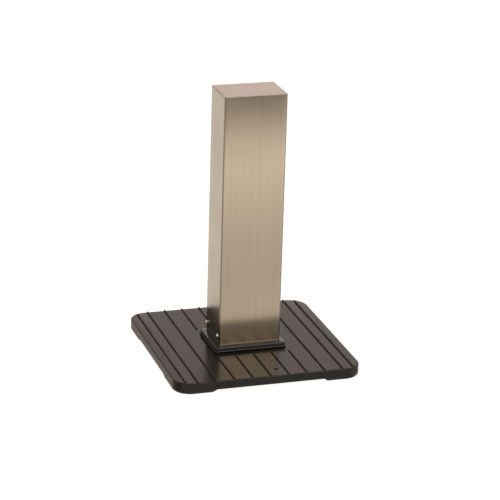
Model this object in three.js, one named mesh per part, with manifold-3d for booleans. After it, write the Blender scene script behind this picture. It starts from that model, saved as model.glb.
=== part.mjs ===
// Free-standing pedestal base: a square cast base plate with black tread strips, a folded stainless
// steel box post bolted to its middle, a lid on the post, and a moulded collar round its foot.
//
// Millimetres, +Z up. The origin is on the floor under the middle of the base plate.
// -Y is the front, +X is the right side. Nothing on the object moves.

import * as THREE from 'three';
import { mergeVertices } from 'three/addons/utils/BufferGeometryUtils.js';
import Module from 'manifold-3d';

const wasm = await Module();
wasm.setup();

// ---------------------------------------------------------------- driving dimensions

const GAP = 0.3;                  // clearance between pieces that touch
const CUT = 10;                   // how far a cutting shape runs past what it cuts
const ROUND = 16;                 // sides of a small round bar or hole

const BASE_SIDE = 457;            // 18 inch square base
const BASE_CORNER_R = 42;
const BASE_TOP = 27;              // top of the plate above the floor
const BASE_SKIN = 6;              // thickness of the plate's top
const BASE_EDGE_R = 2.5;          // rounding of the plate's top edge
const SKIRT_BOTTOM = 6;           // lower edge of the skirt between the feet
const SKIRT_WALL = 7;
const RIB_WALL = 6;
const RIB_BOTTOM = 10;

const FOOT_X = 90;                // length of a corner foot along the front and back
const FOOT_Y = 110;               // length of a corner foot along the sides
const FOOT_RAMP = 8;              // sloped end of each foot
const FOOT_RIM = 24;              // width of the foot's sole, measured in from the skirt
const PAD_THICK = 2;              // rubber sole under each foot
const PAD_INSET = 2;              // how far the sole is set in from the foot's edges
const PAD_END = 1;                // and from its sloped ends

const STRIP_WIDTH = 3.8;
const STRIP_PROUD = 2.4;          // height of a strip above the plate
const STRIP_GROOVE = 3;           // depth of the groove it is pressed into
const STRIP_PITCH = 44.3;         // spacing of the nine inner lines of strips
const STRIP_OUTER_STEP = 27.8;    // the outermost line on each side sits closer
const STRIP_EDGE = 0.6;           // chamfer round each strip
const STRIP_END = 228;            // half length of a full strip, out to the plate's edge
const STRIP_END_OUTER = 218;      // half length beside the rounded corners
const STRIP_CLEAR = 90;           // strips stop this far in front of and behind the centre

const POST_X = 152.4;             // 6 inches wide
const POST_Y = 107.5;
const POST_TOP = 655;
const POST_WALL = 1.5;
const POST_CORNER_R = 3;

const LID_THICK = 2;              // the lid closes the top of the post
const LID_EDGE = 0.6;
const LID_RIM = 12;               // depth of the rim that locates it inside the post

const COLLAR_HEIGHT = 12.5;
const COLLAR_CORNER_R = 4;
const COLLAR_BEAD = 13.6;         // how far the bottom bead stands out from the post
const COLLAR_BEAD_TOP = 4.2;
const COLLAR_NECK = 9.2;
const COLLAR_LEDGE = 12;
const COLLAR_LEDGE_BOTTOM = 6.2;
const COLLAR_BEAD_EDGE = 1.4;     // rounding of the bead's edges
const COLLAR_LEDGE_EDGE = 1.2;

const BRACKET_THICK = 3;
const BRACKET_Y = 101;
const BRACKET_TOP = 80;

const BOLT_X = 48;
const BOLT_Y = 30;
const BOLT_R = 4;                 // M8
const BOLT_CLEAR = 0.5;           // the bolt holes' radius is this much larger
const BOLT_POINT = 1;             // chamfer on the end of the thread
const BOLT_HEAD = 5.3;
const HEX_M8 = 13;                // across flats
const BOLT_TIP = 42;
const WASHER_R = 8;
const WASHER_THICK = 1.6;
const NUT_THICK = 6.8;
const BOSS_BOTTOM = 12;
const BOSS_X = 140;
const BOSS_Y = 100;
const BOSS_CORNER_R = 8;
const COUNTERBORE_R = 9.5;
const COUNTERBORE_TOP = 18;

const SCREW_Y = 45;
const SCREW_Z = 62.8;
const SCREW_R = 2.5;              // M5
const SCREW_HEAD_R = 4.7;
const SCREW_HEAD = 4.6;
const SCREW_RIM = 2;              // straight side of the head below its dome
const SCREW_LENGTH = 13;
const RECESS_REACH = 2.2;         // cross recess in the head
const RECESS_HALF_WIDTH = 0.4;
const RECESS_DEPTH = 1.6;
const WELD_NUT = 4;
const HEX_M5 = 8;

const HOLE_X = 23;                // one hole through the plate near its front edge
const HOLE_Y = -190.5;
const HOLE_R = 5;

// ---------------------------------------------------------------- materials

const finish = (color, roughness, metalness) =>
  new THREE.MeshStandardMaterial({ color, roughness, metalness });

const PAINTED_IRON = [0x4f4641, 0.35, 0.0];
const TREAD_RUBBER = [0x1d1713, 0.7, 0.0];
const SOLE_RUBBER = [0x141312, 0.85, 0.0];
const BLACK_NYLON = [0x17171a, 0.25, 0.0];
const BRUSHED_STEEL = [0xb7a78f, 0.32, 1.0];
const ZINC_STEEL = [0xa7a9ab, 0.4, 1.0];
const STAINLESS = [0xc9c4bc, 0.25, 1.0];

// ---------------------------------------------------------------- helpers

const WELD = 1e-4;                // points closer than this are one point

// A closed three.js geometry as a solid that can be joined and cut.
function solid(geometry) {
  const bare = geometry.clone();
  bare.deleteAttribute('normal');
  bare.deleteAttribute('uv');
  const merged = mergeVertices(bare, WELD);
  return new wasm.Manifold(new wasm.Mesh({
    numProp: 3,
    vertProperties: new Float32Array(merged.attributes.position.array),
    triVerts: new Uint32Array(merged.index.array),
  }));
}

// The reverse: a joined or cut solid as a three.js geometry.
function geometryOf(body) {
  const { vertProperties, triVerts } = body.getMesh();
  const geometry = new THREE.BufferGeometry();
  geometry.setAttribute('position', new THREE.BufferAttribute(new Float32Array(vertProperties), 3));
  geometry.setIndex(new THREE.BufferAttribute(new Uint32Array(triVerts), 1));
  geometry.computeVertexNormals();
  return geometry;
}

const object = new THREE.Group();

function addPiece(name, shape, material) {
  const geometry = shape.isBufferGeometry ? shape : geometryOf(shape);
  const piece = new THREE.Mesh(geometry, finish(...material));
  piece.name = name;
  object.add(piece);
  return piece;
}

// A rectangle of half sizes hx and hy with rounded corners, centred on (cx, cy).
function roundedRect(hx, hy, r, cx = 0, cy = 0) {
  const shape = new THREE.Shape();
  shape.absarc(cx + hx - r, cy + hy - r, r, 0, Math.PI / 2);
  shape.absarc(cx - hx + r, cy + hy - r, r, Math.PI / 2, Math.PI);
  shape.absarc(cx - hx + r, cy - hy + r, r, Math.PI, 1.5 * Math.PI);
  shape.absarc(cx + hx - r, cy - hy + r, r, 1.5 * Math.PI, 2 * Math.PI);
  return shape;
}

// A flat shape raised from z0 to z1. With a bevel, its top and bottom edges are rounded.
function slab(shape, z0, z1, { bevel = 0, steps = 3, segments = 3 } = {}) {
  const geometry = new THREE.ExtrudeGeometry(shape, {
    depth: z1 - z0 - 2 * bevel,
    curveSegments: segments,
    bevelEnabled: bevel > 0,
    bevelThickness: bevel,
    bevelSize: bevel,
    bevelOffset: -bevel,
    bevelSegments: steps,
  });
  geometry.translate(0, 0, z0 + bevel);
  return geometry;
}

function box(x0, x1, y0, y1, z0, z1) {
  const geometry = new THREE.BoxGeometry(x1 - x0, y1 - y0, z1 - z0);
  geometry.translate((x0 + x1) / 2, (y0 + y1) / 2, (z0 + z1) / 2);
  return solid(geometry);
}

// A round bar from z0 to z1 standing at (x, y).
function bar(r, z0, z1, x = 0, y = 0, sides = ROUND) {
  const geometry = new THREE.CylinderGeometry(r, r, z1 - z0, sides);
  geometry.rotateX(Math.PI / 2);
  geometry.translate(x, y, (z0 + z1) / 2);
  return solid(geometry);
}

// A hexagonal bar with the given width across its flats.
const hexBar = (flats, z0, z1) => bar(flats / Math.sqrt(3), z0, z1, 0, 0, 6);

// The base outline drawn in by an inset, as a prism from z0 to z1.
function outlinePrism(inset, z0, z1) {
  const half = BASE_SIDE / 2 - inset;
  return solid(slab(roundedRect(half, half, BASE_CORNER_R - inset), z0, z1, { segments: 8 }));
}

const fourCorners = (x, y) => [
  ['front_left', -x, -y], ['front_right', x, -y], ['back_left', -x, y], ['back_right', x, y]];

// ---------------------------------------------------------------- tread strips

// Where each strip lies: five lines are interrupted round the collar, six run the whole way.
function stripPlaces() {
  const places = [];
  for (let line = -5; line <= 5; line += 1) {
    const outer = Math.abs(line) === 5;
    const x = outer
      ? Math.sign(line) * (4 * STRIP_PITCH + STRIP_OUTER_STEP)
      : line * STRIP_PITCH;
    const end = outer ? STRIP_END_OUTER : STRIP_END;
    const label = `tread_strip_${line + 6}`;
    if (Math.abs(line) > 2) {
      places.push({ name: label, x, y0: -end, y1: end });
    } else {
      places.push({ name: `${label}_front`, x, y0: -end, y1: -STRIP_CLEAR });
      places.push({ name: `${label}_back`, x, y0: STRIP_CLEAR, y1: end });
    }
  }
  return places;
}

// A strip's long outline, or its groove's, which is wider by the gap and runs out
// past the plate's edge wherever its strip ends there.
function stripShape({ x, y0, y1 }, gap = 0) {
  const half = STRIP_WIDTH / 2 + gap;
  const end = (y) => y + Math.sign(y) * (gap > 0 && Math.abs(y) === STRIP_END ? CUT : 0);
  const shape = new THREE.Shape();
  shape.moveTo(x - half, end(y0) - gap);
  shape.lineTo(x + half, end(y0) - gap);
  shape.lineTo(x + half, end(y1) + gap);
  shape.lineTo(x - half, end(y1) + gap);
  return shape;
}

function makeStrips() {
  for (const place of stripPlaces()) {
    const strip = slab(stripShape(place), BASE_TOP - STRIP_GROOVE + GAP, BASE_TOP + STRIP_PROUD,
      { bevel: STRIP_EDGE, steps: 1 });
    addPiece(place.name, solid(strip), TREAD_RUBBER);
  }
}

// ---------------------------------------------------------------- base plate

// Everything below the plate's skin that isn't metal: the hollow inside the skirt,
// narrower in the corners, where the feet have a wide sole.
function undersideHollow() {
  const top = BASE_TOP - BASE_SKIN;
  const half = BASE_SIDE / 2;
  const betweenFeet = box(-half + FOOT_X + FOOT_RAMP, half - FOOT_X - FOOT_RAMP, -half, half, -CUT, top)
    .add(box(-half, half, -half + FOOT_Y + FOOT_RAMP, half - FOOT_Y - FOOT_RAMP, -CUT, top));
  const ribs = box(-RIB_WALL / 2, RIB_WALL / 2, -half, half, RIB_BOTTOM, top)
    .add(box(-half, half, -RIB_WALL / 2, RIB_WALL / 2, RIB_BOTTOM, top));
  const boss = solid(slab(roundedRect(BOSS_X / 2, BOSS_Y / 2, BOSS_CORNER_R), BOSS_BOTTOM, top));
  return outlinePrism(SKIRT_WALL, -CUT, top)
    .intersect(betweenFeet)
    .add(outlinePrism(FOOT_RIM, -CUT, top))
    .subtract(ribs)
    .subtract(boss);
}

// A wedge-ended slice taken off the bottom between two feet, running along Y.
function footCut(halfGap) {
  const profile = new THREE.Shape();
  const slope = FOOT_RAMP / (SKIRT_BOTTOM - PAD_THICK);
  profile.moveTo(-halfGap - PAD_THICK * slope, 0);
  profile.lineTo(halfGap + PAD_THICK * slope, 0);
  profile.lineTo(halfGap - FOOT_RAMP, SKIRT_BOTTOM);
  profile.lineTo(-halfGap + FOOT_RAMP, SKIRT_BOTTOM);
  const length = BASE_SIDE + 2 * CUT;
  const geometry = new THREE.ExtrudeGeometry(profile, { depth: length, bevelEnabled: false });
  geometry.rotateX(Math.PI / 2);
  geometry.translate(0, length / 2, 0);
  return geometry;
}

function makeBasePlate() {
  const half = BASE_SIDE / 2;
  let plate = solid(slab(roundedRect(half, half, BASE_CORNER_R), PAD_THICK, BASE_TOP,
    { bevel: BASE_EDGE_R, segments: 8 }));
  plate = plate
    .subtract(solid(footCut(half - FOOT_X)))
    .subtract(solid(footCut(half - FOOT_Y).rotateZ(Math.PI / 2)))
    .subtract(undersideHollow());
  for (const place of stripPlaces()) {
    plate = plate.subtract(solid(
      slab(stripShape(place, GAP), BASE_TOP - STRIP_GROOVE, BASE_TOP + CUT)));
  }
  for (const [, x, y] of fourCorners(BOLT_X, BOLT_Y)) {
    plate = plate
      .subtract(bar(BOLT_R + BOLT_CLEAR, 0, BASE_TOP + CUT, x, y))
      .subtract(bar(COUNTERBORE_R, 0, COUNTERBORE_TOP, x, y));
  }
  plate = plate.subtract(bar(HOLE_R, 0, BASE_TOP + CUT, HOLE_X, HOLE_Y));
  addPiece('base_plate', plate, PAINTED_IRON);
}

// L-shaped rubber soles under the four corner feet.
function makeFootPads() {
  const half = BASE_SIDE / 2;
  const ring = outlinePrism(PAD_INSET, 0, PAD_THICK - GAP)
    .subtract(outlinePrism(FOOT_RIM - PAD_INSET, -CUT, PAD_THICK));
  for (const [place, sx, sy] of fourCorners(1, 1)) {
    const xs = [sx * (half - FOOT_X + PAD_END), sx * half].sort((a, b) => a - b);
    const ys = [sy * (half - FOOT_Y + PAD_END), sy * half].sort((a, b) => a - b);
    addPiece(`foot_pad_${place}`, ring.intersect(box(...xs, ...ys, -CUT, PAD_THICK)), SOLE_RUBBER);
  }
}

// ---------------------------------------------------------------- post and collar

// The post's outline drawn in by an inset, as a prism from z0 to z1.
const postPrism = (inset, z0, z1, bevel = 0) => solid(slab(
  roundedRect(POST_X / 2 - inset, POST_Y / 2 - inset, Math.max(POST_CORNER_R - inset, 1)),
  z0, z1, { segments: 2, bevel, steps: 2 }));

// Both screw holes in the left side of the post and of the bracket inside it.
function screwDrills() {
  const drill = bar(SCREW_R + GAP, -POST_X, 0).rotate([0, 90, 0]);
  return drill.translate([0, -SCREW_Y, SCREW_Z]).add(drill.translate([0, SCREW_Y, SCREW_Z]));
}

function makePost() {
  const post = postPrism(0, BASE_TOP + GAP, POST_TOP - LID_THICK - GAP)
    .subtract(postPrism(POST_WALL, 0, POST_TOP));
  addPiece('post', post.subtract(screwDrills()), BRUSHED_STEEL);
}

// A flat lid on the post, with a rim that fits inside it.
function makeLid() {
  const seat = POST_TOP - LID_THICK;
  const fit = POST_WALL + GAP;
  const rim = postPrism(fit, seat - LID_RIM, seat + LID_THICK / 2)
    .subtract(postPrism(fit + POST_WALL, 0, seat));
  addPiece('post_lid', postPrism(0, seat, POST_TOP, LID_EDGE).add(rim), BRUSHED_STEEL);
}

// A ring round the post: a bead on the plate, a recessed neck and a flat ledge on top.
function makeCollar() {
  const z0 = BASE_TOP + GAP;
  const course = (out, low, high, bevel) => solid(slab(
    roundedRect(POST_X / 2 + out, POST_Y / 2 + out, COLLAR_CORNER_R),
    z0 + low, z0 + high, { bevel, steps: 2 }));
  const ring = course(COLLAR_BEAD, 0, COLLAR_BEAD_TOP, COLLAR_BEAD_EDGE)
    .add(course(COLLAR_NECK, COLLAR_BEAD_TOP / 2, COLLAR_HEIGHT - COLLAR_LEDGE_EDGE, 0))
    .add(course(COLLAR_LEDGE, COLLAR_LEDGE_BOTTOM, COLLAR_HEIGHT, COLLAR_LEDGE_EDGE))
    .subtract(postPrism(-GAP, 0, POST_TOP));
  addPiece('collar', ring, BLACK_NYLON);
}

// ---------------------------------------------------------------- bracket inside the post

// A U of folded steel plate. Its floor is bolted to the base plate, its ears fill the post from side
// to side, and the post is screwed to the left ear.
function makeBracket() {
  const half = POST_X / 2 - POST_WALL - GAP;
  const low = BASE_TOP + GAP;
  const bend = 2 * BRACKET_THICK;
  const profile = new THREE.Shape();
  profile.moveTo(-half, BRACKET_TOP);
  profile.lineTo(-half, low + bend);
  profile.absarc(-half + bend, low + bend, bend, Math.PI, 1.5 * Math.PI);
  profile.lineTo(half - bend, low);
  profile.absarc(half - bend, low + bend, bend, 1.5 * Math.PI, 2 * Math.PI);
  profile.lineTo(half, BRACKET_TOP);
  profile.lineTo(half - BRACKET_THICK, BRACKET_TOP);
  profile.lineTo(half - BRACKET_THICK, low + bend);
  profile.absarc(half - bend, low + bend, bend - BRACKET_THICK, 0, -Math.PI / 2, true);
  profile.lineTo(-half + bend, low + BRACKET_THICK);
  profile.absarc(-half + bend, low + bend, bend - BRACKET_THICK, -Math.PI / 2, -Math.PI, true);
  const folded = new THREE.ExtrudeGeometry(profile,
    { depth: BRACKET_Y, bevelEnabled: false, curveSegments: 3 });
  folded.rotateX(Math.PI / 2);
  folded.translate(0, BRACKET_Y / 2, 0);
  let bracket = solid(folded);
  for (const [, x, y] of fourCorners(BOLT_X, BOLT_Y)) {
    bracket = bracket.subtract(bar(BOLT_R + BOLT_CLEAR, 0, low + bend, x, y));
  }
  addPiece('post_bracket', bracket.subtract(screwDrills()), ZINC_STEEL);
}

// Bolts come up from the counterbores under the plate; washers and nuts sit on the bracket's floor.
function makeBolts() {
  const headTop = COUNTERBORE_TOP - GAP;
  const washerZ = BASE_TOP + GAP + BRACKET_THICK + GAP;
  const nutZ = washerZ + WASHER_THICK + GAP;
  const shank = new THREE.LatheGeometry([
    new THREE.Vector2(0, headTop - BOLT_POINT),
    new THREE.Vector2(BOLT_R, headTop - BOLT_POINT),
    new THREE.Vector2(BOLT_R, BOLT_TIP - BOLT_POINT),
    new THREE.Vector2(BOLT_R - BOLT_POINT, BOLT_TIP),
    new THREE.Vector2(0, BOLT_TIP),
  ], ROUND).rotateX(Math.PI / 2);
  const bolt = hexBar(HEX_M8, headTop - BOLT_HEAD, headTop).add(solid(shank));
  const clearance = bar(BOLT_R + GAP, 0, BOLT_TIP + CUT);
  const washer = bar(WASHER_R, washerZ, washerZ + WASHER_THICK).subtract(clearance);
  const nut = hexBar(HEX_M8, nutZ, nutZ + NUT_THICK).subtract(clearance);
  for (const [place, x, y] of fourCorners(BOLT_X, BOLT_Y)) {
    addPiece(`base_bolt_${place}`, bolt, ZINC_STEEL).position.set(x, y, 0);
    addPiece(`base_washer_${place}`, washer, ZINC_STEEL).position.set(x, y, 0);
    addPiece(`base_nut_${place}`, nut, ZINC_STEEL).position.set(x, y, 0);
  }
}

// Pan-head screws through the post's left side into weld nuts on the bracket's left ear.
// They are drawn along +Z, head up, and turned to lie along X with their heads to the left.
function makeSideScrews() {
  const dome = [0, 30, 60, 90].map((degrees) => {
    const angle = THREE.MathUtils.degToRad(degrees);
    return new THREE.Vector2(
      SCREW_HEAD_R * Math.cos(angle), SCREW_RIM + (SCREW_HEAD - SCREW_RIM) * Math.sin(angle));
  });
  dome[dome.length - 1].x = 0;
  const turned = new THREE.LatheGeometry([
    new THREE.Vector2(0, -SCREW_LENGTH),
    new THREE.Vector2(SCREW_R, -SCREW_LENGTH),
    new THREE.Vector2(SCREW_R, 0),
    new THREE.Vector2(SCREW_HEAD_R, 0),
    ...dome,
  ], ROUND).rotateX(Math.PI / 2);
  const slot = box(-RECESS_REACH, RECESS_REACH, -RECESS_HALF_WIDTH, RECESS_HALF_WIDTH,
    SCREW_HEAD - RECESS_DEPTH, SCREW_HEAD + CUT);
  const screw = solid(turned).subtract(slot).subtract(slot.rotate([0, 0, 90]));
  const nut = hexBar(HEX_M5, 0, WELD_NUT).subtract(bar(SCREW_R + GAP, -CUT, CUT));
  const nutFace = POST_X / 2 - POST_WALL - BRACKET_THICK - 2 * GAP;
  for (const [place, y] of [['front_left', -SCREW_Y], ['back_left', SCREW_Y]]) {
    const head = addPiece(`side_screw_${place}`, screw, STAINLESS);
    head.rotation.y = -Math.PI / 2;
    head.position.set(-POST_X / 2 - GAP, y, SCREW_Z);
    const weldNut = addPiece(`weld_nut_${place}`, nut, ZINC_STEEL);
    weldNut.rotation.y = Math.PI / 2;
    weldNut.position.set(-nutFace, y, SCREW_Z);
  }
}

makeBasePlate();
makeFootPads();
makeStrips();
makePost();
makeLid();
makeCollar();
makeBracket();
makeBolts();
makeSideScrews();

export default object;
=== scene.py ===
"""Visual model of a free-standing pedestal base.

A square cast base plate in dark powder coat carries black tread strips, rubber soles and a rectangular
post of brushed stainless sheet, which stands in a black moulded collar and is held by screws and bolts.
Sizes are in millimetres here and are turned to metres as each mesh is made. +Z is up and -Y is the front.
"""

import logging
import math
from dataclasses import dataclass, field
from enum import Enum
from typing import Iterable, Sequence

import bmesh
import bpy
import numpy as np
from mathutils import Matrix, Vector
from mathutils.geometry import tessellate_polygon


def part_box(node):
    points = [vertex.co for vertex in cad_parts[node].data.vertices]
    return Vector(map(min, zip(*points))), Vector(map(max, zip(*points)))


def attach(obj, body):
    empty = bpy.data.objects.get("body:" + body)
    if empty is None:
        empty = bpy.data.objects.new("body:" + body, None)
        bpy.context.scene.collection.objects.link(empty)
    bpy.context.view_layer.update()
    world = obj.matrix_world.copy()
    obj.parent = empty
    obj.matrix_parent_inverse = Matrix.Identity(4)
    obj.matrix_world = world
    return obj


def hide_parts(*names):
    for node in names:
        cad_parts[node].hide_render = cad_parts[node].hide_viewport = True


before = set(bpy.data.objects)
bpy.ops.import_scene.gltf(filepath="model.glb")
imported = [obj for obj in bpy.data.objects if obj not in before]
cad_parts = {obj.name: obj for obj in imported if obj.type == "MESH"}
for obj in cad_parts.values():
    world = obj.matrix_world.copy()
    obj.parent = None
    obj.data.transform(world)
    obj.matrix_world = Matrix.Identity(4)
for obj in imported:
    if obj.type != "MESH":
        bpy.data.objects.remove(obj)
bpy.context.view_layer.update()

logging.basicConfig(level=logging.INFO, format="%(name)s: %(message)s")
LOG = logging.getLogger("pedestal")

Array = np.ndarray
Socket = bpy.types.NodeSocket
Tone = str | Socket
Span = tuple[float, float]
MM = 0.001                      # one millimetre in Blender's metres
QUARTER = math.pi / 2
SMOOTH_ANGLE = math.radians(32) # edges sharper than this stay crisp
WELD = 2e-6                     # metres: loops drawn twice are joined
CORNERS = (("front_left", -1, -1), ("front_right", 1, -1), ("back_left", -1, 1), ("back_right", 1, 1))


# ---------------------------------------------------------------- curves and surfaces


def rounded_loop(hx: float, hy: float, r: float, corner: int = 8, side: int = 8) -> tuple[Array, Array]:
    """Points and outward normals round a rectangle with rounded corners, anticlockwise.

    A corner is centre + r (cos a, sin a) over a quarter turn, and a side is the straight line between
    the end of one corner and the start of the next.

    Args:
        hx: Half size along X.
        hy: Half size along Y.
        r: Corner radius.
        corner: Steps in each corner.
        side: Steps along each side.

    Returns:
        Points and normals, each of shape (4 * (corner + side), 2).
    """
    angle = np.linspace(0, QUARTER, corner + 1)[None, :] + QUARTER * np.arange(4)[:, None]
    normal = np.stack([np.cos(angle), np.sin(angle)], -1)
    signs = np.array([[1, 1], [-1, 1], [-1, -1], [1, -1]], float)
    centre = signs * np.array([hx - r, hy - r])
    arc = centre[:, None, :] + r * normal
    t = np.linspace(0, 1, side + 1)[1:-1, None]
    end, start = arc[:, -1:, :], np.roll(arc, -1, axis=0)[:, :1, :]
    line = end + (start - end) * t
    line_normal = np.repeat(normal[:, -1:, :], side - 1, axis=1)
    points = np.concatenate([arc, line], axis=1).reshape(-1, 2)
    normals = np.concatenate([normal, line_normal], axis=1).reshape(-1, 2)
    return points, normals


def circle(r: float, x: float = 0.0, y: float = 0.0, steps: int = 32) -> Array:
    """Points of a circle: (x, y) + r (cos a, sin a), of shape (steps, 2)."""
    angle = np.linspace(0, 2 * math.pi, steps, endpoint=False)
    return np.stack([x + r * np.cos(angle), y + r * np.sin(angle)], -1)


def rings(levels: Iterable[tuple]) -> Array:
    """Outlines of N points, each with its height, as one surface of (rows, N, 3)."""
    return np.stack([np.column_stack([loop, np.broadcast_to(z, len(loop))]) for loop, z in levels])


def raise_rows(points: Array, normals: Array, profile: Sequence[tuple]) -> Array:
    """Carries a profile round an outline: row point = outline - inset * normal, at height z.

    Args:
        points: The outline, (N, 2).
        normals: Its outward normals, (N, 2).
        profile: Pairs (inset, z). Each may be a number or an array of N values.

    Returns:
        The surface's points, (rows, N, 3).
    """
    count = len(points)
    return rings((points - normals * np.broadcast_to(inset, count)[:, None], z) for inset, z in profile)


def bend(d0: float | Array, z0: float | Array, r_in: float, r_z: float, steps: int,
        start: float = 0.0) -> list[tuple]:
    """A quarter round in a profile: inset = d0 - r_in cos a, z = z0 + r_z sin a, over a quarter turn.

    Args:
        d0: Inset of the arc's centre, a number or one for each outline point.
        z0: Height of the arc's centre, likewise.
        r_in: Signed radius across the profile.
        r_z: Signed radius along Z.
        steps: Number of steps.
        start: Angle at which the quarter turn starts.

    Returns:
        Pairs (inset, z).
    """
    angles = np.linspace(start, start + QUARTER, steps + 1)
    return [(d0 - r_in * math.cos(a), z0 + r_z * math.sin(a)) for a in angles]


@dataclass
class Shell:
    """Gathers the surfaces of one piece and makes its mesh, welded, closed and facing out."""

    name: str
    points: list = field(default_factory=list)
    faces: list = field(default_factory=list)
    wear: list = field(default_factory=list)
    count: int = 0

    def _add(self, points: Array, wear: float | Array) -> int:
        """Adds points, with how worn each is, and returns the first one's number."""
        first = self.count
        self.points.append(points.reshape(-1, 3))
        self.count += len(self.points[-1])
        self.wear.append(np.broadcast_to(wear, points.shape[:-1]).reshape(-1))
        return first

    def grid(self, rows: Array, around: bool = True, along: bool = False, wear: float | Array = 0.0) -> None:
        """Adds quads between neighbouring points of a grid.

        Args:
            rows: Points, (rows, N, 3).
            around: Joins each row's last point to its first.
            along: Joins the last row to the first.
            wear: How worn the surface is, from 0 to 1: one value, or one for each point.
        """
        first = self._add(rows, wear)
        index = first + np.arange(rows.shape[0] * rows.shape[1]).reshape(rows.shape[:2])
        if around:
            index = np.hstack([index, index[:, :1]])
        if along:
            index = np.vstack([index, index[:1]])
        quads = np.stack([index[:-1, :-1], index[:-1, 1:], index[1:, 1:], index[1:, :-1]], -1)
        self.faces.extend(quads.reshape(-1, 4).tolist())

    def cap(self, outer: Array, holes: Sequence[Array] = (), z: float = 0.0) -> None:
        """Fills an outline, less its holes, with triangles at height z."""
        loops = [outer, *holes]
        flat = np.concatenate(loops)
        first = self._add(np.column_stack([flat, np.full(len(flat), z)]), 0.0)
        vectors = [[Vector((x, y, 0)) for x, y in loop] for loop in loops]
        self.faces.extend([tuple(first + i for i in tri) for tri in tessellate_polygon(vectors)])

    def fan(self, ring: Array, wear: float = 0.0) -> None:
        """Closes a ring of points, (N, 3), with triangles to its middle."""
        first = self._add(np.vstack([ring, ring.mean(0)]), wear)
        n = len(ring)
        start = np.arange(n)
        triangles = np.stack([start, (start + 1) % n, np.full(n, n)], -1) + first
        self.faces.extend(triangles.tolist())

    def fan_ends(self, rows: Array) -> None:
        """Closes both ends of a surface, (rows, N, 3), with triangles to the middle of each."""
        self.fan(rows[0])
        self.fan(rows[-1])

    def cap_ends(self, rows: Array) -> None:
        """Fills both ends of a surface, (rows, N, 3), whose first and last rows are level."""
        for ring in (rows[0], rows[-1]):
            self.cap(ring[:, :2], (), ring[0, 2])

    def join(self, other: "Shell") -> None:
        """Takes in another shell's surfaces."""
        self.faces += [tuple(self.count + i for i in face) for face in other.faces]
        self.points += other.points
        self.wear += other.wear
        self.count += other.count

    def place(self, turn: Array, shift: Sequence[float]) -> "Shell":
        """Turns every point by a 3 x 3 matrix and moves it, and returns the shell."""
        self.points = [p @ np.asarray(turn).T + np.asarray(shift, float) for p in self.points]
        return self

    def build(self, material: bpy.types.Material, slot: str,
            replaces: Sequence[str] = ()) -> bpy.types.Object:
        """Makes the Blender object at the origin, with its place in its mesh.

        Args:
            material: Its finish.
            slot: The record's material slot. Not used.
            replaces: CAD nodes that it stands for.

        Returns:
            The object, riding on the part's one body.
        """
        mesh = bpy.data.meshes.new(self.name)
        mesh.from_pydata((np.concatenate(self.points) * MM).tolist(), [], self.faces)
        worn = mesh.attributes.new("wear", "FLOAT", "POINT")
        worn.data.foreach_set("value", np.concatenate(self.wear).astype(np.float32))
        work = bmesh.new()
        work.from_mesh(mesh)
        bmesh.ops.remove_doubles(work, verts=work.verts, dist=WELD)
        bmesh.ops.dissolve_degenerate(work, edges=work.edges, dist=WELD)
        bmesh.ops.recalc_face_normals(work, faces=work.faces)
        open_edges = sum(1 for edge in work.edges if len(edge.link_faces) != 2)
        work.to_mesh(mesh)
        work.free()
        mesh.shade_smooth()
        mesh.set_sharp_from_angle(angle=SMOOTH_ANGLE)
        mesh.materials.append(material)
        piece = bpy.data.objects.new(self.name, mesh)
        bpy.context.scene.collection.objects.link(piece)
        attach(piece, "root")
        if replaces:
            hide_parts(*replaces)
        LOG.info("%s: %d faces, %d open edges", self.name, len(mesh.polygons), open_edges)
        return piece


def cad_box(node: str) -> tuple[Array, Array]:
    """A CAD node's lowest and highest corners, in millimetres."""
    low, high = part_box(node)
    return np.array(low) / MM, np.array(high) / MM


# ---------------------------------------------------------------- finishes


def linear(code: str) -> tuple[float, float, float, float]:
    """An sRGB colour such as "#8a7f70" as linear red, green, blue and alpha."""
    channels = [int(code[i:i + 2], 16) / 255 for i in (1, 3, 5)]
    curve = [c / 12.92 if c <= 0.04045 else ((c + 0.055) / 1.055) ** 2.4 for c in channels]
    return (*curve, 1.0)


def add_node(tree: bpy.types.NodeTree, kind: str, inputs: dict | None = None, **settings) -> bpy.types.Node:
    """Adds a shader node.

    Args:
        tree: The material's node tree.
        kind: The node's type, such as "ShaderNodeMix".
        inputs: Socket name or number to a value, or to the socket that feeds it.
        **settings: The node's own properties.

    Returns:
        The node.
    """
    node = tree.nodes.new(kind)
    for key, value in settings.items():
        setattr(node, key, value)
    for key, value in (inputs or {}).items():
        if isinstance(value, bpy.types.NodeSocket):
            tree.links.new(value, node.inputs[key])
        else:
            node.inputs[key].default_value = value
    return node


def per_metre(size_mm: float) -> float:
    """A texture scale that gives features of this size on Object coordinates in metres."""
    return 1.0 / (size_mm * MM)


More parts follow.
